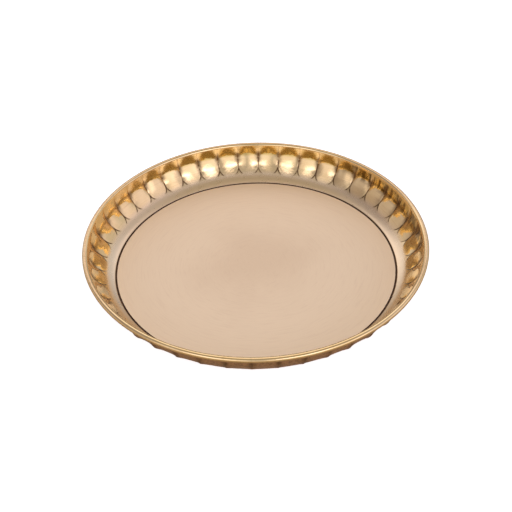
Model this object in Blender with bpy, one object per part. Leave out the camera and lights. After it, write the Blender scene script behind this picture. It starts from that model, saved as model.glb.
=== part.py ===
"""Fluted brass tray.

A flat floor plate is let into the ledge of a fluted wall ring and soldered round its seam. The wall's
top edge is rolled outwards over a stiffening wire. Lengths are in metres and +Z is up. The origin is
the centre of the face that the tray stands on.
"""

import math

import bmesh
import bpy

MM = 0.001

# Driving dimensions
RIM_RADIUS = 150.0 * MM  # to the outside of the rolled edge
HEIGHT = 34.5 * MM  # standing face to the top of the rolled edge
FLUTES = 44
SHEET = 0.8 * MM  # thickness of the wall's sheet
PLATE_THICKNESS = 1.0 * MM
SEAM_RADIUS = 124.35 * MM  # middle of the open seam round the floor plate
FIT_GAP = 0.3 * MM  # clearance between pieces that touch

# Rolled edge and its wire
ROLL_RADIUS = 2.35 * MM  # outside of the roll
WIRE_RADIUS = ROLL_RADIUS - SHEET - FIT_GAP
ROLL_END = math.radians(-125)  # where the roll stops, short of the wall's back

# Ledge, seam and lip at the wall's foot
LEDGE_WIDTH = 5.5 * MM  # how far the ledge reaches in under the plate
SEAM_WIDTH = 1.0 * MM
BEND_RADIUS = 0.4 * MM
LIP_RADIUS = 1.6 * MM
LIP_RISE = 0.75 * MM  # the lip's crest above the floor plate
PLATE_BEVEL = 0.15 * MM
SOLDER_DEPTH = 0.45 * MM  # the solder's top below the floor plate
SOLDER_CROWN = 0.1 * MM  # how much higher the solder's middle is than its sides

# Wall section between the lip and the rolled edge: cove arc, cone, shoulder arc, upper arc
COVE_RADIUS = 22.0 * MM
SHOULDER_RADIUS = 24.0 * MM
COVE_START_SLOPE = math.radians(24)
CONE_SLOPE = math.radians(46)
SHOULDER_END_SLOPE = math.radians(80)
WALL_SLOPE = math.radians(86)

# Flutes: pillows that bulge inwards, placed by their length along the section from the cove's start
FLUTE_DEPTH = 1.6 * MM
FLUTE_FOOT = 6.5 * MM  # lowest point of a pillow's round bottom
FLUTE_FORK = 16.8 * MM  # where neighbouring pillows meet
FLUTE_FULL = 24.0 * MM  # full depth from here
FLUTE_FADE = 20.0 * MM  # the depth fades out over this length below the roll
FIRST_CREASE = math.radians(87.9)

# Mesh
MERGE_DISTANCE = 0.01 * MM
SHARP_ANGLE = math.radians(40)
COARSE_COLUMNS = 2 * FLUTES
FINE_COLUMNS = 4 * FLUTES
FLUTE_ROWS = 6
BEND_STEPS = 2
LIP_STEPS = 2
ROLL_STEPS = (2, 2, 3)  # up to the top, out to the widest point, and round underneath
WIRE_SIDES = 8

# Heights and radii that follow from the dimensions above
LEDGE_TOP = SHEET
PLATE_BOTTOM = LEDGE_TOP + FIT_GAP
FLOOR_TOP = PLATE_BOTTOM + PLATE_THICKNESS
PLATE_RADIUS = SEAM_RADIUS - SEAM_WIDTH / 2
WEB_RADIUS = SEAM_RADIUS + SEAM_WIDTH / 2
LEDGE_INNER_RADIUS = PLATE_RADIUS - LEDGE_WIDTH
ROLL_CENTRE = (RIM_RADIUS - ROLL_RADIUS, HEIGHT - ROLL_RADIUS)

# Finishes: colour, metallic, roughness
WALL_BRASS = ((0.66, 0.47, 0.23, 1.0), 1.0, 0.28)
FLOOR_BRASS = ((0.70, 0.50, 0.30, 1.0), 1.0, 0.32)
WIRE_BRASS = ((0.55, 0.38, 0.17, 1.0), 1.0, 0.45)
DARK_SOLDER = ((0.10, 0.07, 0.05, 1.0), 0.6, 0.70)


def clear_scene():
    for old in list(bpy.data.objects):
        bpy.data.objects.remove(old, do_unlink=True)


def metal(name, finish):
    colour, metallic, roughness = finish
    material = bpy.data.materials.new(name)
    material.use_nodes = True
    shader = material.node_tree.nodes["Principled BSDF"]
    shader.inputs["Base Color"].default_value = colour
    shader.inputs["Metallic"].default_value = metallic
    shader.inputs["Roughness"].default_value = roughness
    material.diffuse_color = colour
    return material


def add_object(name, mesh, material):
    mesh.materials.append(material)
    mesh.shade_smooth()
    mesh.set_sharp_from_angle(angle=SHARP_ANGLE)
    node = bpy.data.objects.new(name, mesh)
    bpy.context.collection.objects.link(node)
    return node


def on_circle(centre, radius, angle):
    return centre[0] + radius * math.cos(angle), centre[1] + radius * math.sin(angle)


def arc(centre, radius, start, end, steps):
    """Points on an arc in the (r, z) plane, from the angle start to the angle end, both included."""
    angles = [start + (end - start) * i / steps for i in range(steps + 1)]
    return [on_circle(centre, radius, angle) for angle in angles]


def turned(name, outline, material):
    """A ring turned about +Z from a closed outline whose outer side runs downwards."""
    mesh = bpy.data.meshes.new(name)
    points = [(r, 0.0, z) for r, z in outline]
    count = len(points)
    mesh.from_pydata(points, [(i, (i + 1) % count) for i in range(count)], [])
    node = add_object(name, mesh, material)
    screw = node.modifiers.new("Turn", "SCREW")
    screw.axis = "Z"
    screw.steps = COARSE_COLUMNS
    screw.render_steps = COARSE_COLUMNS
    screw.use_merge_vertices = True
    screw.merge_threshold = MERGE_DISTANCE
    screw.use_smooth_shade = True
    return node


class WallSection:
    """The wall's inner face from the lip to the roll, as cove arc, cone, shoulder arc and upper arc."""

    def __init__(self):
        lip_normal = math.pi / 2 + COVE_START_SLOPE
        lip_height = FLOOR_TOP + LIP_RISE - LIP_RADIUS * math.sin(lip_normal)
        self.lip_centre = (WEB_RADIUS + LIP_RADIUS, lip_height)
        self.start = on_circle(self.lip_centre, LIP_RADIUS, lip_normal)
        self.end = on_circle(ROLL_CENTRE, ROLL_RADIUS, math.pi / 2 + WALL_SLOPE)
        cove = self.turn(COVE_RADIUS, COVE_START_SLOPE, CONE_SLOPE)
        shoulder = self.turn(SHOULDER_RADIUS, CONE_SLOPE, SHOULDER_END_SLOPE)
        left_r = self.end[0] - self.start[0] - cove[0] - shoulder[0]
        left_z = self.end[1] - self.start[1] - cove[1] - shoulder[1]
        cone_r, cone_z = math.cos(CONE_SLOPE), math.sin(CONE_SLOPE)
        upper_turn = WALL_SLOPE - SHOULDER_END_SLOPE
        upper_r, upper_z = self.turn(1.0 / upper_turn, SHOULDER_END_SLOPE, WALL_SLOPE)
        cross = cone_r * upper_z - cone_z * upper_r
        cone = (left_r * upper_z - left_z * upper_r) / cross
        upper = (left_z * cone_r - left_r * cone_z) / cross
        self.runs = [
            (COVE_RADIUS * (CONE_SLOPE - COVE_START_SLOPE), COVE_START_SLOPE, CONE_SLOPE),
            (cone, CONE_SLOPE, CONE_SLOPE),
            (SHOULDER_RADIUS * (SHOULDER_END_SLOPE - CONE_SLOPE), CONE_SLOPE, SHOULDER_END_SLOPE),
            (upper, SHOULDER_END_SLOPE, WALL_SLOPE),
        ]
        self.length = sum(run[0] for run in self.runs)

    @staticmethod
    def turn(radius, slope_from, slope_to):
        """How far an arc goes in r and z as its slope rises from slope_from to slope_to."""
        rise = math.cos(slope_from) - math.cos(slope_to)
        return radius * (math.sin(slope_to) - math.sin(slope_from)), radius * rise

    def at(self, distance):
        """(r, z, slope) at a distance along the section."""
        r, z = self.start
        for length, slope_from, slope_to in self.runs:
            part = min(distance, length)
            slope = slope_from + (slope_to - slope_from) * part / length
            if slope_from == slope_to:
                r += part * math.cos(slope)
                z += part * math.sin(slope)
            else:
                step = self.turn(length / (slope_to - slope_from), slope_from, slope)
                r += step[0]
                z += step[1]
            distance -= part
            if distance <= 0.0:
                break
        return r, z, slope


def smooth(low, high, value):
    t = min(max((value - low) / (high - low), 0.0), 1.0)
    return t * t * (3.0 - 2.0 * t)


def pillow_height(section, distance, across):
    """How far a pillow stands in from the section. across runs from -1 to 1, crease to crease."""
    depth = FLUTE_DEPTH * smooth(FLUTE_FOOT, FLUTE_FULL, distance)
    from_top = min((section.length - distance) / FLUTE_FADE, 1.0)
    depth *= from_top * (2.0 - from_top)
    half_width = 1.0
    if distance < FLUTE_FORK:
        below = min((FLUTE_FORK - distance) / (FLUTE_FORK - FLUTE_FOOT), 1.0)
        half_width = math.sqrt(1.0 - below * below)
    if abs(across) >= half_width:
        return 0.0
    return depth * (1.0 - (across / half_width) ** 2)


def column_angles(columns):
    return [FIRST_CREASE + math.tau * i / columns for i in range(columns)]


def add_point(mesh, r, z, angle):
    return mesh.verts.new((r * math.cos(angle), r * math.sin(angle), z))


def plain_row(mesh, r, z):
    return [add_point(mesh, r, z, angle) for angle in column_angles(COARSE_COLUMNS)]


def fluted_row(mesh, section, distance):
    r, z, slope = section.at(distance)
    per_flute = FINE_COLUMNS // FLUTES
    row = []
    for i, angle in enumerate(column_angles(FINE_COLUMNS)):
        across = 2.0 * (i % per_flute) / per_flute - 1.0
        height = pillow_height(section, distance, across)
        row.append(add_point(mesh, r - height * math.sin(slope), z + height * math.cos(slope), angle))
    return row


def join_rows(mesh, low, high):
    """Faces between two rows of a ring; one row may have twice as many points as the other."""
    if len(low) == len(high):
        for i in range(len(low)):
            j = (i + 1) % len(low)
            mesh.faces.new((low[i], high[i], high[j], low[j]))
        return
    fine_is_high = len(high) > len(low)
    coarse, fine = (low, high) if fine_is_high else (high, low)
    for i in range(len(coarse)):
        j = (i + 1) % len(coarse)
        a, b, c = fine[2 * i], fine[2 * i + 1], fine[(2 * i + 2) % len(fine)]
        for face in ((coarse[i], a, b), (coarse[i], b, coarse[j]), (coarse[j], b, c)):
            mesh.faces.new(face if fine_is_high else tuple(reversed(face)))


def roll_points():
    """The rolled edge's outside, from the wall's inner face over the top and round underneath."""
    turns = (math.pi / 2 + WALL_SLOPE, math.pi / 2, 0.0, ROLL_END)
    points = [on_circle(ROLL_CENTRE, ROLL_RADIUS, turns[0])]
    for start, end, steps in zip(turns, turns[1:], ROLL_STEPS):
        points += arc(ROLL_CENTRE, ROLL_RADIUS, start, end, steps)[1:]
    return points


def make_fluted_wall(section, material):
    """The wall's inner face from the ledge to the end of the roll, thickened to the sheet's gauge."""
    sheet = bmesh.new()
    foot = [(LEDGE_INNER_RADIUS, LEDGE_TOP)]
    bend_centre = (WEB_RADIUS - BEND_RADIUS, LEDGE_TOP + BEND_RADIUS)
    foot += arc(bend_centre, BEND_RADIUS, -math.pi / 2, 0.0, BEND_STEPS)
    lip_normal = math.pi / 2 + COVE_START_SLOPE
    foot += arc(section.lip_centre, LIP_RADIUS, math.pi, lip_normal, LIP_STEPS)
    foot.append(section.at(FLUTE_FOOT / 2)[:2])
    rows = [plain_row(sheet, r, z) for r, z in foot]
    step = (section.length - FLUTE_FOOT) / FLUTE_ROWS
    rows += [fluted_row(sheet, section, FLUTE_FOOT + step * i) for i in range(FLUTE_ROWS)]
    rows += [plain_row(sheet, r, z) for r, z in roll_points()]
    for low, high in zip(rows, rows[1:]):
        join_rows(sheet, low, high)
    mesh = bpy.data.meshes.new("fluted_wall")
    sheet.to_mesh(mesh)
    sheet.free()
    wall = add_object("fluted_wall", mesh, material)
    gauge = wall.modifiers.new("Gauge", "SOLIDIFY")
    gauge.thickness = SHEET
    gauge.offset = -1.0
    gauge.use_even_offset = True
    return wall


def make_floor_plate(material):
    mesh = bpy.data.meshes.new("floor_plate")
    plate = bmesh.new()
    disc = bmesh.ops.create_circle(plate, cap_ends=True, segments=COARSE_COLUMNS, radius=PLATE_RADIUS)
    bmesh.ops.translate(plate, verts=disc["verts"], vec=(0.0, 0.0, PLATE_BOTTOM))
    raised = bmesh.ops.extrude_face_region(plate, geom=list(plate.faces))
    top = [item for item in raised["geom"] if isinstance(item, bmesh.types.BMVert)]
    bmesh.ops.translate(plate, verts=top, vec=(0.0, 0.0, PLATE_THICKNESS))
    bmesh.ops.recalc_face_normals(plate, faces=plate.faces)
    arrises = [edge for edge in plate.edges if abs(edge.verts[0].co.z - edge.verts[1].co.z) < PLATE_BEVEL]
    bmesh.ops.bevel(plate, geom=arrises, offset=PLATE_BEVEL, segments=1, affect="EDGES")
    plate.to_mesh(mesh)
    plate.free()
    return add_object("floor_plate", mesh, material)


def make_rim_wire(material):
    outline = arc(ROLL_CENTRE, WIRE_RADIUS, 0.0, -math.tau, WIRE_SIDES)[:-1]
    return turned("rim_wire", outline, material)


def make_seam_solder(material):
    inner = PLATE_RADIUS + FIT_GAP
    outer = WEB_RADIUS - FIT_GAP
    top = FLOOR_TOP - SOLDER_DEPTH
    shoulder = top - SOLDER_CROWN
    crest = ((inner + outer) / 2, top)
    outline = [(inner, PLATE_BOTTOM), (inner, shoulder), crest, (outer, shoulder), (outer, PLATE_BOTTOM)]
    return turned("seam_solder", outline, material)


def main():
    clear_scene()
    section = WallSection()
    make_fluted_wall(section, metal("wall_brass", WALL_BRASS))
    make_floor_plate(metal("floor_brass", FLOOR_BRASS))
    make_rim_wire(metal("wire_brass", WIRE_BRASS))
    make_seam_solder(metal("dark_solder", DARK_SOLDER))


main()
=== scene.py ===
import math

import bpy
import numpy as np
from mathutils import Matrix, Vector


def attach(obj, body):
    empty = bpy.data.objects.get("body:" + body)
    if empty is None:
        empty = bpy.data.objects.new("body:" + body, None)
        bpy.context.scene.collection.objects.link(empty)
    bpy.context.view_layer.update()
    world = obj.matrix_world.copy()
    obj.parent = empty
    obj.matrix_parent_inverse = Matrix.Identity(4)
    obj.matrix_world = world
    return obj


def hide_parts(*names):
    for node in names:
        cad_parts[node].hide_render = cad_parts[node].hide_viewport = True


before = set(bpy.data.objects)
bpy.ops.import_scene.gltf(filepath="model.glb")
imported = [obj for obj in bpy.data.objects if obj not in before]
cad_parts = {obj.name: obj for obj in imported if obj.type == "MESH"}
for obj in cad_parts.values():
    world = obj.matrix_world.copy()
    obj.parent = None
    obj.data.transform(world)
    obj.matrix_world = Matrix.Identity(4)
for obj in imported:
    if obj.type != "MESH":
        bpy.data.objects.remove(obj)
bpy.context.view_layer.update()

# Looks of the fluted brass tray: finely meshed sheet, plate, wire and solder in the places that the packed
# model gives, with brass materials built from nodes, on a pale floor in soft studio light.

MM = 0.001


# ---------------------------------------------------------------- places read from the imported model

def node_points(name):
    return np.array([v.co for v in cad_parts[name].data.vertices])


def radii(points):
    return np.hypot(points[:, 0], points[:, 1])


wall_points = node_points("fluted_wall")
plate_points = node_points("floor_plate")
RIM_RADIUS = radii(wall_points).max()
HEIGHT = wall_points[:, 2].max()
LEDGE_INNER_RADIUS = radii(wall_points).min()
PLATE_RADIUS = radii(plate_points).max()
PLATE_BOTTOM = plate_points[:, 2].min()
FLOOR_TOP = plate_points[:, 2].max()

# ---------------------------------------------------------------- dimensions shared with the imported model

FLUTES = 44
SHEET = 0.8 * MM
SEAM_WIDTH = 1.0 * MM
WEB_RADIUS = PLATE_RADIUS + SEAM_WIDTH
ROLL_RADIUS = 2.35 * MM
WIRE_RADIUS = 1.25 * MM
ROLL_CENTRE = (RIM_RADIUS - ROLL_RADIUS, HEIGHT - ROLL_RADIUS)
ROLL_END = math.radians(-125)
LEDGE_TOP = SHEET
BEND_RADIUS = 0.4 * MM
LIP_RADIUS = 1.6 * MM
LIP_RISE = 0.75 * MM
PLATE_BEVEL = 0.15 * MM
COVE_RADIUS = 22.0 * MM
SHOULDER_RADIUS = 24.0 * MM
COVE_START_SLOPE = math.radians(24)
LIP_END = math.pi / 2 + COVE_START_SLOPE
CONE_SLOPE = math.radians(46)
SHOULDER_END_SLOPE = math.radians(80)
WALL_SLOPE = math.radians(86)
ROLL_START = math.pi / 2 + WALL_SLOPE
FLUTE_DEPTH = 1.6 * MM
FLUTE_FOOT = 6.5 * MM
FLUTE_FORK = 16.8 * MM
FLUTE_FULL = 24.0 * MM
FLUTE_FADE = 20.0 * MM
FIRST_CREASE = math.radians(87.9)
FLUTE_STEP = math.tau / FLUTES

# ---------------------------------------------------------------- where the brass is clean or dark, and where shade is painted on it

CREASE_FADE = 8.0 * MM  # the creases fade out over this length below the roll
SEAM_DARK_TO = FLOOR_TOP + 0.32 * MM  # the sheet's seam side is dark up to this height, the lip bright above
SEAM_FADE = 0.12 * MM
ROLL_CLEAN_FROM = math.radians(20)  # the roll is clean above this angle and weathered below the next
ROLL_CLEAN_TO = math.radians(-22)
# the roll's top has a painted shade, brown, between the middle two of these angles, and fades to bright by
# the outer two
ROLL_SHADE_SIDES = (math.radians(48), math.radians(64), math.radians(100), math.radians(125))
ROLL_SHADE_STRENGTH = 0.6
ROLL_SHADE_SINES = (-0.75, -0.35)  # the roll's painted shade sets in between these sines of the angle round the tray, so it is left off the front
PLATE_EDGE_DARK = (0.45 * MM, 0.2 * MM)  # the plate darkens between these distances from its edge
DARK_STREAK_WAY = (0.93, 0.37, 0.0)  # the side of the tray with the most olive colour and painted dark streaks

# ---------------------------------------------------------------- camera, turned to the plate's middle

CAMERA_DISTANCE = 814.605 * MM
CAMERA_ELEVATION = math.radians(40.2)
CAMERA_ROLL = math.radians(-1.635)
CAMERA_LENS = 64.08  # in mm, for a sensor of the width below
CAMERA_SENSOR = 36.0
CAMERA_SHIFT = 0.0148  # as a share of the sensor's width

# ---------------------------------------------------------------- mesh detail

FLUTE_COLUMNS = 18
FLUTE_ROWS = 46
LIP_ROWS = 10
BEND_ROWS = 3
ROLL_ROWS = 20
FINE_STEPS = 4000  # steps in which the wall's section is summed up
ANGLE_JITTER = math.radians(0.16)
DEPTH_JITTER = 0.07
FOOT_JITTER = 0.35 * MM
CREASE_GROOVE = 0.16 * MM
CREASE_HALF_WIDTH = 0.42 * MM
FORK_FADE = (0.6, 0.9)  # the groove fades out between these shares of the way down a pillow's foot
TINY = 1e-9  # keeps the pillows' width above 0
LEDGE_STEP = 2.5 * MM
SHARP_ANGLE = math.radians(30)
PLATE_MIDDLE_RADIUS = 0.004 * PLATE_RADIUS
PLATE_RINGS = 72
PLATE_COLUMNS = 264
RING_COLUMNS = 352
WIRE_SIDES = 16
SOLDER_ROWS = 6

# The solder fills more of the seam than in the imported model, which leaves twice the gap and stays lower
SOLDER_GAP = 0.15 * MM
SOLDER_DEPTH = 0.45 * MM  # how far its sides are below the plate's top
SOLDER_CROWN = 0.12 * MM
SOLDER_LUMPS = 0.06 * MM
SOLDER_WAVES = ((37, 0.0), (91, 1.0), (150, 2.0))  # lumps round the tray, and where they start

random = np.random.default_rng(7)


# ---------------------------------------------------------------- geometry helpers

def smooth(low, high, value):
    t = np.clip((value - low) / (high - low), 0.0, 1.0)
    return t * t * (3.0 - 2.0 * t)


def on_circle(centre, radius, angle):
    return centre[0] + radius * np.cos(angle), centre[1] + radius * np.sin(angle)


def arc(centre, radius, start, end, steps):
    """Points on an arc in the (r, z) plane, from the angle start to the angle end, both included."""
    return np.stack(on_circle(centre, radius, np.linspace(start, end, steps + 1)), axis=1)


def grid_mesh(name, rows, closed_rows=False, ends_filled=False):
    """A mesh from rows of points that each run once round the tray.

    Each row is closed. closed_rows joins the last row to the first, and ends_filled puts a face on each.
    """
    points = np.asarray(rows)
    count, columns = points.shape[:2]
    index = np.arange(count * columns).reshape(count, columns)
    last = count if closed_rows else count - 1
    low = index[np.arange(last)]
    high = index[(np.arange(last) + 1) % count]
    quads = np.stack([low, np.roll(low, -1, axis=1), np.roll(high, -1, axis=1), high], axis=-1)
    faces = quads.reshape(-1, 4).tolist()
    if ends_filled:
        faces += [index[0][::-1].tolist(), index[-1].tolist()]
    mesh = bpy.data.meshes.new(name)
    mesh.from_pydata(points.reshape(-1, 3).tolist(), [], faces)
    mesh.shade_smooth()
    return mesh


def add_piece(name, mesh, material, node):
    piece = bpy.data.objects.new(name, mesh)
    bpy.context.scene.collection.objects.link(piece)
    mesh.materials.append(material)
    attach(piece, "root")
    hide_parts(node)


def turned_rows(outline, angles):
    """Rows of points from an outline in the (r, z) plane, turned through the angles."""
    return [np.stack([r * np.cos(angles), r * np.sin(angles), np.full_like(angles, z)], axis=1)
            for r, z in outline]


def add_values(mesh, name, inner, outer):
    """A value for each point of the wall's mesh, given as grids for the sheet's air side and back."""
    attribute = mesh.attributes.new(name, "FLOAT", "POINT")
    attribute.data.foreach_set("value", np.concatenate([inner, outer[::-2]]).astype(np.float32).ravel())


# ---------------------------------------------------------------- the wall's section

def turn(radius, slope_from, slope_to):
    """How far an arc goes in r and z as its slope rises from slope_from to slope_to."""
    rise = math.cos(slope_from) - math.cos(slope_to)
    return radius * (math.sin(slope_to) - math.sin(slope_from)), radius * rise


class WallSection:
    """The wall's inner face from the lip to the roll, as cove arc, cone, shoulder arc and upper arc."""

    def __init__(self):
        self.lip_centre = (WEB_RADIUS + LIP_RADIUS, FLOOR_TOP + LIP_RISE - LIP_RADIUS * math.sin(LIP_END))
        start = on_circle(self.lip_centre, LIP_RADIUS, LIP_END)
        end = on_circle(ROLL_CENTRE, ROLL_RADIUS, ROLL_START)
        cove = turn(COVE_RADIUS, COVE_START_SLOPE, CONE_SLOPE)
        shoulder = turn(SHOULDER_RADIUS, CONE_SLOPE, SHOULDER_END_SLOPE)
        left_r = end[0] - start[0] - cove[0] - shoulder[0]
        left_z = end[1] - start[1] - cove[1] - shoulder[1]
        cone_way = (math.cos(CONE_SLOPE), math.sin(CONE_SLOPE))
        upper_turn = WALL_SLOPE - SHOULDER_END_SLOPE
        upper_way = turn(1.0 / upper_turn, SHOULDER_END_SLOPE, WALL_SLOPE)
        cross = cone_way[0] * upper_way[1] - cone_way[1] * upper_way[0]
        cone = (left_r * upper_way[1] - left_z * upper_way[0]) / cross
        upper = (left_z * cone_way[0] - left_r * cone_way[1]) / cross
        runs = (COVE_RADIUS * (CONE_SLOPE - COVE_START_SLOPE), cone,
                SHOULDER_RADIUS * (SHOULDER_END_SLOPE - CONE_SLOPE), upper)
        stations = np.concatenate([[0.0], np.cumsum(runs)])
        slopes = (COVE_START_SLOPE, CONE_SLOPE, CONE_SLOPE, SHOULDER_END_SLOPE, WALL_SLOPE)
        self.length = stations[-1]
        self.fine = np.linspace(0.0, self.length, FINE_STEPS + 1)
        self.slopes = np.interp(self.fine, stations, slopes)
        step = self.fine[1]
        middle = (self.slopes[1:] + self.slopes[:-1]) / 2
        self.r = start[0] + step * np.concatenate([[0.0], np.cumsum(np.cos(middle))])
        self.z = start[1] + step * np.concatenate([[0.0], np.cumsum(np.sin(middle))])

    def at(self, distance):
        """r, z and the slope at a distance along the section."""
        return tuple(np.interp(distance, self.fine, values) for values in (self.r, self.z, self.slopes))


def wall_profile(section):
    """The sheet's air side as stations from the ledge to the curl's end.

    Gives the points, the distance along the fluted section, how weathered the brass is there, and how much
    painted shade the roll's top has.
    """
    bend_centre = (WEB_RADIUS - BEND_RADIUS, LEDGE_TOP + BEND_RADIUS)
    ledge = np.array([[LEDGE_INNER_RADIUS, LEDGE_TOP], [LEDGE_INNER_RADIUS + LEDGE_STEP, LEDGE_TOP]])
    bend = arc(bend_centre, BEND_RADIUS, -math.pi / 2, 0.0, BEND_ROWS)
    lip = arc(section.lip_centre, LIP_RADIUS, math.pi, LIP_END, LIP_ROWS)
    distance = section.length * np.linspace(0.0, 1.0, FLUTE_ROWS + 1)
    r, z, _ = section.at(distance)
    roll = arc(ROLL_CENTRE, ROLL_RADIUS, ROLL_START, ROLL_END, ROLL_ROWS)[1:]
    points = np.concatenate([ledge, bend, lip, np.stack([r, z], axis=1)[1:], roll])
    before = len(ledge) + len(bend) + len(lip)
    along = np.concatenate([np.zeros(before), distance[1:], np.full(len(roll), section.length)])
    roll_angles = np.linspace(ROLL_START, ROLL_END, ROLL_ROWS + 1)[1:]
    # painted shade: a brown band on the roll's top, in place of a dark reflection
    rises, risen, falls, fallen = ROLL_SHADE_SIDES
    roll_shade = ROLL_SHADE_STRENGTH * smooth(rises, risen, roll_angles) * (1.0 - smooth(falls, fallen, roll_angles))
    roll_weather = 1.0 - smooth(ROLL_CLEAN_TO, ROLL_CLEAN_FROM, roll_angles)
    plain = np.zeros(before + FLUTE_ROWS)
    return points, along, np.concatenate([plain, roll_weather]), np.concatenate([plain, roll_shade])


def flute_outline(along, foot):
    """Half the pillow's width, as a share of half a flute, and how far down its rounded foot a place is."""
    below = (FLUTE_FORK - along) / (FLUTE_FORK - foot)
    return np.sqrt(np.maximum(1.0 - np.clip(below, 0.0, 1.0) ** 2, TINY)), below


def pillow_height(section, along, across, depth, foot):
    """How far the pillows stand in from the section; the arguments are arrays of the same shape."""
    grow = smooth(0.0, FLUTE_FULL - FLUTE_FOOT, along - foot)
    from_top = np.clip((section.length - along) / FLUTE_FADE, 0.0, 1.0)
    fade = from_top * (2.0 - from_top)
    half_width, _ = flute_outline(along, foot)
    return depth * grow * fade * np.maximum(1.0 - (across / half_width) ** 2, 0.0)


def flute_columns():
    """One entry for each column round the wall: its angle, place across its flute, depth and foot."""
    creases = FIRST_CREASE + FLUTE_STEP * np.arange(FLUTES) + random.normal(0.0, ANGLE_JITTER, FLUTES)
    widths = np.diff(np.concatenate([creases, [creases[0] + math.tau]]))
    across = -np.cos(np.pi * np.arange(FLUTE_COLUMNS) / FLUTE_COLUMNS)
    angles = creases[:, None] + widths[:, None] * (across + 1.0) / 2
    depths = FLUTE_DEPTH * (1.0 + random.normal(0.0, DEPTH_JITTER, FLUTES))
    feet = FLUTE_FOOT + random.normal(0.0, FOOT_JITTER, FLUTES)
    return (angles.ravel(), np.tile(across, FLUTES), np.repeat(depths, FLUTE_COLUMNS),
            np.repeat(feet, FLUTE_COLUMNS))


def grid_normals(points):
    """Unit normals of a grid of points whose rows run once round the tray, on the well's side."""
    along_column = np.gradient(points, axis=0)
    along_row = np.roll(points, -1, axis=1) - np.roll(points, 1, axis=1)
    normals = np.cross(along_column, along_row)
    return normals / np.linalg.norm(normals, axis=-1, keepdims=True)


def make_fluted_wall(section, material):
    """The pressed sheet, with the values that its material reads at every point."""
    profile, along, brownness, roll_shade = wall_profile(section)
    angles, across, depth, foot = flute_columns()
    s, a = np.meshgrid(along, across, indexing="ij")
    half_width, below = flute_outline(s, foot)
    fluted = (s > 0.0) & (s < section.length)
    r0, z0 = profile[:, 0][:, None], profile[:, 1][:, None]
    slope = section.at(along)[2][:, None]

    # a narrow groove along the creases, which fork round the pillows' bottoms
    off_crease = np.abs(half_width - np.abs(a)) * FLUTE_STEP / 2 * r0
    fold = (1.0 - smooth(*FORK_FADE, below)) * smooth(0.0, CREASE_FADE, section.length - s)
    groove = CREASE_GROOVE * fold * np.exp(-((off_crease / CREASE_HALF_WIDTH) ** 2))
    height = (pillow_height(section, s, a, depth, foot) - groove) * fluted

    # the air side stands in from its section, and the back follows at the gauge, with half as many rows
    radius = r0 - height * np.sin(slope)
    z = z0 + height * np.cos(slope)
    inner = np.stack([radius * np.cos(angles), radius * np.sin(angles), z], axis=-1)
    outer = inner - SHEET * grid_normals(inner)
    rows = np.concatenate([inner, outer[::-2]])
    mesh = grid_mesh("fluted_wall_finish", rows, closed_rows=True)

    ones = np.ones_like(s)
    steps = np.hypot(*np.diff(profile, axis=0).T)
    station = np.concatenate([[0.0], np.cumsum(steps)])[:, None] * ones
    in_seam = (s == 0.0) * (1.0 - smooth(SEAM_DARK_TO - SEAM_FADE, SEAM_DARK_TO, z0))
    # the weathering value also carries the painted shade on the roll's top, except at the front
    weather_and_shade = brownness[:, None] + roll_shade[:, None] * smooth(*ROLL_SHADE_SINES, np.sin(angles))
    add_values(mesh, "across", np.abs(a), np.abs(a))
    add_values(mesh, "below", below, below)
    add_values(mesh, "near_top", (section.length - s) / CREASE_FADE, ones)
    add_values(mesh, "station", station, station)
    add_values(mesh, "in_seam", in_seam, 0.0 * ones)
    add_values(mesh, "brownness", weather_and_shade, ones)
    add_piece("fluted_wall_finish", mesh, material, "fluted_wall")


def make_floor_plate(material):
    """The plate, turned from its outline, with a small face in the middle of its top and its bottom."""
    angles = np.linspace(0.0, math.tau, PLATE_COLUMNS, endpoint=False)
    rings = np.linspace(PLATE_MIDDLE_RADIUS, PLATE_RADIUS - PLATE_BEVEL, PLATE_RINGS)
    top = [(r, FLOOR_TOP) for r in rings]
    edge = [(PLATE_RADIUS, FLOOR_TOP - PLATE_BEVEL), (PLATE_RADIUS, PLATE_BOTTOM + PLATE_BEVEL)]
    bottom = [(r, PLATE_BOTTOM) for r in rings[::-3]]
    mesh = grid_mesh("floor_plate_finish", turned_rows(top + edge + bottom, angles), ends_filled=True)
    mesh.set_sharp_from_angle(angle=SHARP_ANGLE)
    add_piece("floor_plate_finish", mesh, material, "floor_plate")


def make_rim_wire(material):
    angles = np.linspace(0.0, math.tau, RING_COLUMNS, endpoint=False)
    outline = arc(ROLL_CENTRE, WIRE_RADIUS, 0.0, -math.tau, WIRE_SIDES)[:-1]
    mesh = grid_mesh("rim_wire_finish", turned_rows(outline, angles), closed_rows=True)
    add_piece("rim_wire_finish", mesh, material, "rim_wire")


def make_seam_solder(material):
    """A ring with a rounded, slightly lumpy top, run in between the plate and the web."""
    angles = np.linspace(0.0, math.tau, 2 * RING_COLUMNS, endpoint=False)
    inner = PLATE_RADIUS + SOLDER_GAP
    outer = WEB_RADIUS - SOLDER_GAP
    top = FLOOR_TOP - SOLDER_DEPTH
    across = np.linspace(-1.0, 1.0, SOLDER_ROWS + 1)
    crown = [(inner + (outer - inner) * (a + 1.0) / 2, top + SOLDER_CROWN * (1.0 - a * a)) for a in across]
    rows = turned_rows(crown + [(outer, PLATE_BOTTOM), (inner, PLATE_BOTTOM)], angles)
    lump = SOLDER_LUMPS * np.mean([np.sin(count * angles + start) for count, start in SOLDER_WAVES], axis=0)
    for row in rows[:len(crown)]:
        row[:, 2] += lump
    mesh = grid_mesh("seam_solder_finish", rows, closed_rows=True)
    add_piece("seam_solder_finish", mesh, material, "seam_solder")


# ---------------------------------------------------------------- materials

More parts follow.
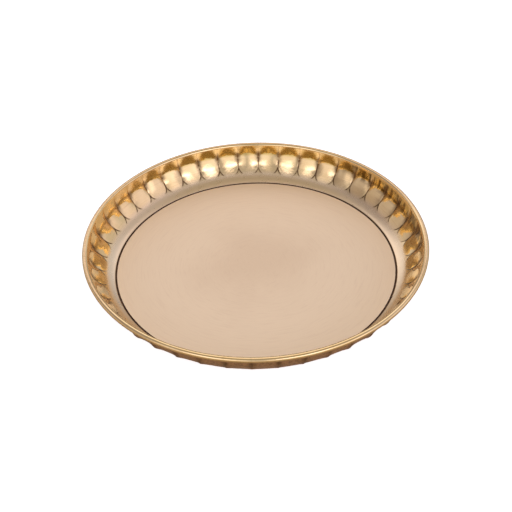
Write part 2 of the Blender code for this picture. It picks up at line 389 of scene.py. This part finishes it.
class Nodes:
    """A short way to write the node tree of a material or a world."""

    def __init__(self, owner):
        owner.use_nodes = True
        self.owner = owner
        self.tree = owner.node_tree
        self.shader = self.tree.nodes.get("Principled BSDF")

    def add(self, kind, *inputs, **settings):
        node = self.tree.nodes.new("ShaderNode" + kind)
        for key, value in settings.items():
            setattr(node, key, value)
        for i, value in enumerate(inputs):
            self.feed(node.inputs[i], value)
        return node

    def feed(self, socket, value):
        if isinstance(value, bpy.types.NodeSocket):
            self.tree.links.new(value, socket)
        elif value is not None:
            socket.default_value = value

    def math(self, operation, *inputs):
        return self.add("Math", *inputs, operation=operation).outputs[0]

    def product(self, first, *others):
        """The product of two or more values."""
        for other in others:
            first = self.math("MULTIPLY", first, other)
        return first

    def mix(self, factor, low, high):
        """A mix of two colours, whose sockets are the node's inputs 6 and 7 and its output 2."""
        node = self.add("Mix", data_type="RGBA")
        self.feed(node.inputs["Factor"], factor)
        self.feed(node.inputs[6], low)
        self.feed(node.inputs[7], high)
        return node.outputs[2]

    def attribute(self, name):
        return self.add("Attribute", attribute_name=name).outputs["Fac"]

    def noise(self, vector, scale, detail=4.0, roughness=0.55):
        node = self.add("TexNoise")
        self.feed(node.inputs["Vector"], vector)
        node.inputs["Scale"].default_value = scale
        node.inputs["Detail"].default_value = detail
        node.inputs["Roughness"].default_value = roughness
        return node.outputs["Fac"]

    def turned_noise(self, place, distance, scale, turns=5.0):
        """Noise drawn out into fine lines that run round the tray. distance runs across the lines."""
        x, y, _ = self.add("SeparateXYZ", place).outputs
        length = self.add("VectorMath", self.add("CombineXYZ", x, y, 0.0).outputs[0], operation="LENGTH")
        share = self.math("DIVIDE", turns, length.outputs["Value"])
        around = [self.math("MULTIPLY", value, share) for value in (x, y)]
        across = self.math("MULTIPLY", distance, scale)
        return self.noise(self.add("CombineXYZ", across, *around).outputs[0], 1.0, 3.0)

    def ramp(self, value, low, high, out_low=0.0, out_high=1.0):
        """out_low where the value is at low, out_high where it is at high, and smooth between."""
        node = self.add("MapRange", value, low, high, out_low, out_high, interpolation_type="SMOOTHSTEP")
        return node.outputs[0]


POLISHED = (0.92, 0.67, 0.31, 1.0)
AGED = (0.87, 0.61, 0.26, 1.0)
BROWN = (0.68, 0.42, 0.20, 1.0)
BROWN_STREAK = (0.44, 0.26, 0.12, 1.0)
SATIN = (0.90, 0.665, 0.375, 1.0)
OLIVE_GOLD = (0.73, 0.50, 0.16, 1.0)
# painted shade for the dark streaks under the roll
DARK_STREAK = (0.13, 0.07, 0.02, 1.0)
# crease grime, and the painted shade of the blotches below the creases' tops
GRIME_AND_SHADE = (0.14, 0.075, 0.03, 1.0)
SEAM_DIRT = (0.07, 0.030, 0.010, 1.0)
PLATE_BRIGHT = (0.99, 0.82, 0.55, 1.0)
PLATE_WORN = (0.93, 0.75, 0.49, 1.0)
PLATE_LINES = (0.78, 0.56, 0.32, 1.0)
PLATE_EDGE = (0.10, 0.042, 0.014, 1.0)
POLISH_ROUGHNESS = (0.05, 0.09)
SATIN_ROUGHNESS = 0.22  # added where the brass is satin
DIRT_AND_SHADE_ROUGHNESS = 0.3  # added where it is dirty, and where shade is painted
PLATE_ROUGHNESS = (0.72, 0.18)  # seen from above, and seen flatly
RIPPLE = 0.06 * MM
DARK_STREAK_STRENGTH = 0.85
DARK_SHARE = 0.6  # a plain metal's darkest tone, as a share of its colour
WEAR_WANDER = 100 * MM  # how unevenly the plate's worn middle ends

# Scales of the noises, in cells for each metre
PATCH_SCALE = 55.0
STREAK_SCALE = 600.0
DARK_STREAK_SCALE = 200.0
GRIME_AND_SHADE_SCALE = 260.0
POLISH_SCALE = 180.0
RIPPLE_SCALE = 380.0
WALL_LINE_SCALE = 900.0
PLATE_LINE_SCALE = 700.0
WEAR_SCALE = 14.0
TONE_SCALE = 300.0
UPRIGHT = (1.0, 1.0, 0.1)  # counts heights less, so that a noise runs in upright streaks

# Bands on the wall, from where a mask starts to where it is full. They are values of near_top, which is 0 at
# the roll and grows by 1 for every CREASE_FADE downwards.
BELOW_ROLL = (0.0, 0.3)
OLIVE_BAND = (1.35, 1.0)
DARK_STREAK_BAND = (1.9, 1.1)
SHADE_BLOTCH_TOP = (0.5, 1.2)
SHADE_BLOTCH_FOOT = (2.8, 1.5)
CREASE_BAND = (0.4, 1.1)

# Distances from the tray's middle along DARK_STREAK_WAY, between which a mask sets in
OLIVE_SIDE = (-140 * MM, 20 * MM)
DARK_STREAK_SIDE = (112 * MM, 135 * MM)

# The radius and the wander together, between which the plate's middle becomes worn
WORN_MIDDLE = (130 * MM, 60 * MM)

# Shares of the way down a pillow's foot, between which the cove turns satin and a crease's grime ends
COVE_SATIN = (0.35, 1.05)
GRIME_END = (0.85, 0.65)

# Shares of half a flute from a crease, between which grime, the olive band and the blotches of painted shade
# set in
GRIME_REACH = (0.115, 0.035)
WEATHERED_REACH = 0.2  # more where the brass is weathered
OLIVE_REACH = (0.05, 0.4)
SHADE_BLOTCH_REACH = (0.5, 0.0)

# How flatly the plate is seen, where 0 is straight on and 1 edge on, as it turns glossier
FLAT_VIEW = (0.45, 0.78)


def bare_brass(n, place, brownness, upright):
    """Polished brass with age patches and fine turned lines, brown and streaky where it is weathered and
    where shade is painted on the roll's top.
    """
    patches = n.ramp(n.noise(place, PATCH_SCALE), 0.35, 0.7)
    lines = n.turned_noise(place, n.attribute("station"), WALL_LINE_SCALE)
    streaks = n.ramp(n.noise(upright, STREAK_SCALE), 0.4, 0.7)
    polished = n.mix(patches, POLISHED, AGED)
    polished = n.mix(n.ramp(lines, 0.5, 0.75, 0.0, 0.3), polished, BROWN)
    return n.mix(brownness, polished, n.mix(streaks, BROWN, BROWN_STREAK))


def from_crease(n, below):
    """How far a place is from its crease or its pillow's outline, as a share of half a flute."""
    inside = n.math("MINIMUM", n.math("MAXIMUM", below, 0.0), 1.0)
    outline = n.math("SQRT", n.math("SUBTRACT", 1.0, n.math("MULTIPLY", inside, inside)))
    return n.math("ABSOLUTE", n.math("SUBTRACT", outline, n.attribute("across")))


def olive_band_mask(n, near_top, away, brownness, side):
    """An olive-gold band between the creases' tops, fainter on the side away from the painted dark streaks.
    """
    band = n.product(n.ramp(near_top, *OLIVE_BAND), n.ramp(near_top, *BELOW_ROLL))
    between = n.math("SUBTRACT", n.ramp(away, *OLIVE_REACH), brownness)
    return n.product(band, between, n.ramp(side, *OLIVE_SIDE, 0.1, 1.0))


def dark_streak_mask(n, near_top, well_side, side, upright):
    """Painted shade: dark upright streaks under the roll, in place of a dark reflection, on one side of the
    tray only.
    """
    band = n.product(n.ramp(near_top, *DARK_STREAK_BAND), n.ramp(near_top, *BELOW_ROLL))
    streaks = n.ramp(n.noise(upright, DARK_STREAK_SCALE), 0.4, 0.55)
    return n.product(n.ramp(side, *DARK_STREAK_SIDE), streaks, band, well_side, DARK_STREAK_STRENGTH)


def grime_and_shade_mask(n, place, near_top, away, below, brownness):
    """Brown grime along the creases and down into their forks, and painted shade in blotches below their
    tops.
    """
    none_from, full_to = GRIME_REACH
    crease = n.ramp(away, n.math("MULTIPLY_ADD", brownness, WEATHERED_REACH, none_from), full_to)
    crease = n.product(crease, n.ramp(below, *GRIME_END), n.ramp(near_top, *CREASE_BAND, 0.1, 1.0))
    # painted shade: blotches beside the creases' tops, in place of the dark reflections there
    shade_blotch = n.product(n.ramp(near_top, *SHADE_BLOTCH_TOP), n.ramp(near_top, *SHADE_BLOTCH_FOOT))
    shade_blotch = n.product(shade_blotch, n.ramp(away, *SHADE_BLOTCH_REACH, 0.0, 0.9))
    uneven = n.ramp(n.noise(place, GRIME_AND_SHADE_SCALE), 0.3, 0.6, 0.5, 1.0)
    return n.product(n.math("MAXIMUM", crease, shade_blotch), uneven, n.ramp(brownness, 0.0, 1.0, 1.0, 0.7))


def wall_brass():
    """Bright brass on the well's side, satin in the cove, brown in the creases, the seam and outside, with
    painted shade in blotches below the creases' tops, in dark streaks on one side and on the roll's top.
    """
    n = Nodes(bpy.data.materials.new("wall_brass"))
    place = n.add("TexCoord").outputs["Object"]
    upright = n.add("VectorMath", place, UPRIGHT, operation="MULTIPLY").outputs[0]
    side = n.add("VectorMath", place, DARK_STREAK_WAY, operation="DOT_PRODUCT").outputs["Value"]
    # brownness is the weathering, and on the roll's top away from the front also painted shade
    brownness = n.attribute("brownness")
    well_side = n.math("SUBTRACT", 1.0, brownness)
    near_top = n.attribute("near_top")
    below = n.attribute("below")
    in_seam = n.attribute("in_seam")
    away = from_crease(n, below)
    in_cove = n.product(n.ramp(below, *COVE_SATIN), well_side)
    grime_and_shade = grime_and_shade_mask(n, place, near_top, away, below, brownness)

    colour = bare_brass(n, place, brownness, upright)
    colour = n.mix(in_cove, colour, SATIN)
    colour = n.mix(olive_band_mask(n, near_top, away, brownness, side), colour, OLIVE_GOLD)
    colour = n.mix(dark_streak_mask(n, near_top, well_side, side, upright), colour, DARK_STREAK)
    colour = n.mix(grime_and_shade, colour, GRIME_AND_SHADE)
    colour = n.mix(in_seam, colour, SEAM_DIRT)
    n.feed(n.shader.inputs["Base Color"], colour)
    n.shader.inputs["Metallic"].default_value = 1.0

    # rougher where there is dirt, and where shade is painted
    dirt_and_shade = n.math("MAXIMUM", n.math("MAXIMUM", grime_and_shade, in_seam), brownness)
    rough = n.ramp(n.noise(place, POLISH_SCALE), 0.3, 0.7, *POLISH_ROUGHNESS)
    rough = n.math("MULTIPLY_ADD", dirt_and_shade, DIRT_AND_SHADE_ROUGHNESS, rough)
    rough = n.math("MULTIPLY_ADD", in_cove, SATIN_ROUGHNESS, rough)
    n.feed(n.shader.inputs["Roughness"], rough)
    ripples = n.add("Bump", 1.0, RIPPLE)
    n.feed(ripples.inputs["Height"], n.noise(place, RIPPLE_SCALE, 2.0))
    n.feed(n.shader.inputs["Normal"], ripples.outputs[0])
    return n.owner


def floor_brass():
    """Satin brass with fine turned lines, worn in the middle, dark at the seam, glossier seen flatly."""
    n = Nodes(bpy.data.materials.new("floor_brass"))
    place = n.add("TexCoord").outputs["Object"]
    radius = n.add("VectorMath", place, operation="LENGTH").outputs["Value"]
    uneven = n.math("MULTIPLY_ADD", n.noise(place, WEAR_SCALE, 3.0), WEAR_WANDER, radius)
    worn = n.ramp(uneven, *WORN_MIDDLE)
    colour = n.mix(worn, PLATE_BRIGHT, PLATE_WORN)
    lines = n.turned_noise(place, radius, PLATE_LINE_SCALE)
    colour = n.mix(n.ramp(lines, 0.45, 0.8, 0.0, 0.14), colour, PLATE_LINES)
    dark_from, dark_to = (PLATE_RADIUS - inset for inset in PLATE_EDGE_DARK)
    colour = n.mix(n.ramp(radius, dark_from, dark_to), colour, PLATE_EDGE)
    n.feed(n.shader.inputs["Base Color"], colour)
    n.shader.inputs["Metallic"].default_value = 1.0
    facing = n.add("LayerWeight").outputs["Facing"]
    n.feed(n.shader.inputs["Roughness"], n.ramp(facing, *FLAT_VIEW, *PLATE_ROUGHNESS))
    return n.owner


def plain_metal(name, colour, roughness, metallic=1.0):
    """A metal whose tone varies a little from place to place."""
    n = Nodes(bpy.data.materials.new(name))
    place = n.add("TexCoord").outputs["Object"]
    dark = tuple(DARK_SHARE * channel for channel in colour[:3]) + (1.0,)
    n.feed(n.shader.inputs["Base Color"], n.mix(n.noise(place, TONE_SCALE), dark, colour))
    n.shader.inputs["Metallic"].default_value = metallic
    n.shader.inputs["Roughness"].default_value = roughness
    return n.owner


# ---------------------------------------------------------------- stage, light and camera

FLOOR_REACH = 4.0
FLOOR_DROP = 0.05 * MM  # keeps the floor clear of the tray's standing face
FLOOR_GLOW = 0.75
FLOOR_ROUGHNESS = 0.9
FLOOR_SEEN = (0.92, 0.90, 0.80, 1.0)
FLOOR_MIRRORED = (0.67, 0.57, 0.38, 1.0)
WHITE = (1.0, 1.0, 1.0, 1.0)


def make_floor():
    """A floor that is near white to the camera, while the brass mirrors it as a darker, warmer table."""
    mesh = bpy.data.meshes.new("studio_floor")
    corners = [(x * FLOOR_REACH, y * FLOOR_REACH, 0.0) for x, y in ((-1, -1), (1, -1), (1, 1), (-1, 1))]
    mesh.from_pydata(corners, [], [(0, 1, 2, 3)])
    floor = bpy.data.objects.new("studio_floor", mesh)
    bpy.context.scene.collection.objects.link(floor)
    n = Nodes(bpy.data.materials.new("studio_floor"))
    seen = n.add("LightPath").outputs["Is Camera Ray"]
    n.feed(n.shader.inputs["Base Color"], n.mix(seen, FLOOR_MIRRORED, FLOOR_SEEN))
    n.shader.inputs["Roughness"].default_value = FLOOR_ROUGHNESS
    n.shader.inputs["Emission Color"].default_value = WHITE
    n.feed(n.shader.inputs["Emission Strength"], n.math("MULTIPLY", seen, FLOOR_GLOW))
    mesh.materials.append(n.owner)
    floor.location.z = -FLOOR_DROP


class Studio:
    """The studio's walls, ceiling and lamps as soft patches of light in the world.

    Azimuth 0 is the camera's side and 90 the right; elevation 0 is the horizon. All are in degrees.
    """

    def __init__(self, ambient):
        self.nodes = Nodes(bpy.data.worlds.new("studio"))
        n = self.nodes
        direction = n.add("TexCoord").outputs["Generated"]
        x, y, z = n.add("SeparateXYZ", direction).outputs
        self.azimuth = n.math("ARCTAN2", x, n.math("MULTIPLY", y, -1.0))
        self.elevation = n.math("ARCSINE", z)
        self.light = n.add("CombineXYZ", *ambient).outputs[0]

    def window(self, value, half_size, softness):
        """1 while the value is within half_size of 0, and 0 outside, with a soft edge."""
        inner = math.radians(half_size - softness / 2)
        outer = math.radians(half_size + softness / 2)
        return self.nodes.ramp(self.nodes.math("ABSOLUTE", value), outer, inner)

    def patch(self, azimuth, elevation, width, height, softness, colour):
        """Add a patch of light with its middle in the direction given."""
        n = self.nodes
        turned = n.math("SUBTRACT", self.azimuth, math.radians(azimuth))
        across = self.window(n.math("WRAP", turned, math.pi, -math.pi), width / 2, softness)
        raised = n.math("SUBTRACT", self.elevation, math.radians(elevation))
        share = n.math("MULTIPLY", across, self.window(raised, height / 2, softness))
        glow = n.add("VectorMath", colour, operation="SCALE")
        n.feed(glow.inputs["Scale"], share)
        self.light = n.add("VectorMath", self.light, glow.outputs[0], operation="ADD").outputs[0]

    def finish(self):
        """The camera sees plain white where the brass mirrors the patches."""
        background = self.nodes.tree.nodes["Background"]
        seen = self.nodes.add("LightPath").outputs["Is Camera Ray"]
        self.nodes.feed(background.inputs["Color"], self.nodes.mix(seen, self.light, WHITE))
        bpy.context.scene.world = self.nodes.owner


def make_studio():
    studio = Studio(ambient=(0.50, 0.50, 0.63))
    # the room round the horizon, and its dimmer ceiling
    studio.patch(0, 0, 360, 60, 20, (0.15, 0.15, 0.16))
    studio.patch(0, 78, 360, 40, 16, (-0.10, -0.13, -0.28))
    # two windows in front, each brighter at its top
    studio.patch(36, 20, 62, 38, 12, (0.46, 0.44, 0.56))
    studio.patch(29, 32, 34, 12, 12, (1.70, 1.70, 2.50))
    studio.patch(-34, 20, 58, 38, 12, (0.40, 0.39, 0.48))
    studio.patch(-30, 32, 30, 12, 12, (1.20, 1.20, 1.75))
    # a light wall at the right and a dark one at the left
    studio.patch(80, 18, 54, 34, 24, (0.30, 0.26, 0.46))
    studio.patch(-84, 8, 80, 50, 24, (-0.08, -0.11, -0.12))
    studio.patch(-102, 38, 60, 32, 20, (-0.16, -0.17, -0.22))
    # behind: a large soft light high up, a dark foot below it and a screen on each side
    studio.patch(180, 57, 84, 48, 22, (0.68, 0.65, 0.82))
    studio.patch(180, 34, 60, 24, 14, (0.12, 0.11, 0.10))
    studio.patch(180, 8, 50, 40, 20, (-0.36, -0.36, -0.44))
    studio.patch(146, 24, 32, 26, 16, (0.04, 0.12, 0.28))
    studio.patch(-146, 24, 32, 26, 16, (0.42, 0.46, 0.62))
    studio.finish()


def make_camera():
    data = bpy.data.cameras.new("camera")
    data.lens = CAMERA_LENS
    data.sensor_width = CAMERA_SENSOR
    data.shift_y = CAMERA_SHIFT
    data.clip_start = 0.01
    camera = bpy.data.objects.new("camera", data)
    target = Vector((0.0, 0.0, FLOOR_TOP))
    toward = Vector((0.0, -math.cos(CAMERA_ELEVATION), math.sin(CAMERA_ELEVATION)))
    turned = toward.to_track_quat("Z", "Y").to_matrix() @ Matrix.Rotation(CAMERA_ROLL, 3, "Z")
    place = target + toward * CAMERA_DISTANCE
    camera.matrix_world = Matrix.LocRotScale(place, turned.to_quaternion(), None)
    bpy.context.scene.collection.objects.link(camera)
    bpy.context.scene.camera = camera


make_camera()
section = WallSection()
make_fluted_wall(section, wall_brass())
make_floor_plate(floor_brass())
make_rim_wire(plain_metal("wire_brass", (0.55, 0.38, 0.17, 1.0), 0.4))
make_seam_solder(plain_metal("dark_solder", (0.19, 0.095, 0.045, 1.0), 0.6, metallic=0.5))
make_floor()
make_studio()
bpy.context.scene.view_settings.view_transform = "Standard"
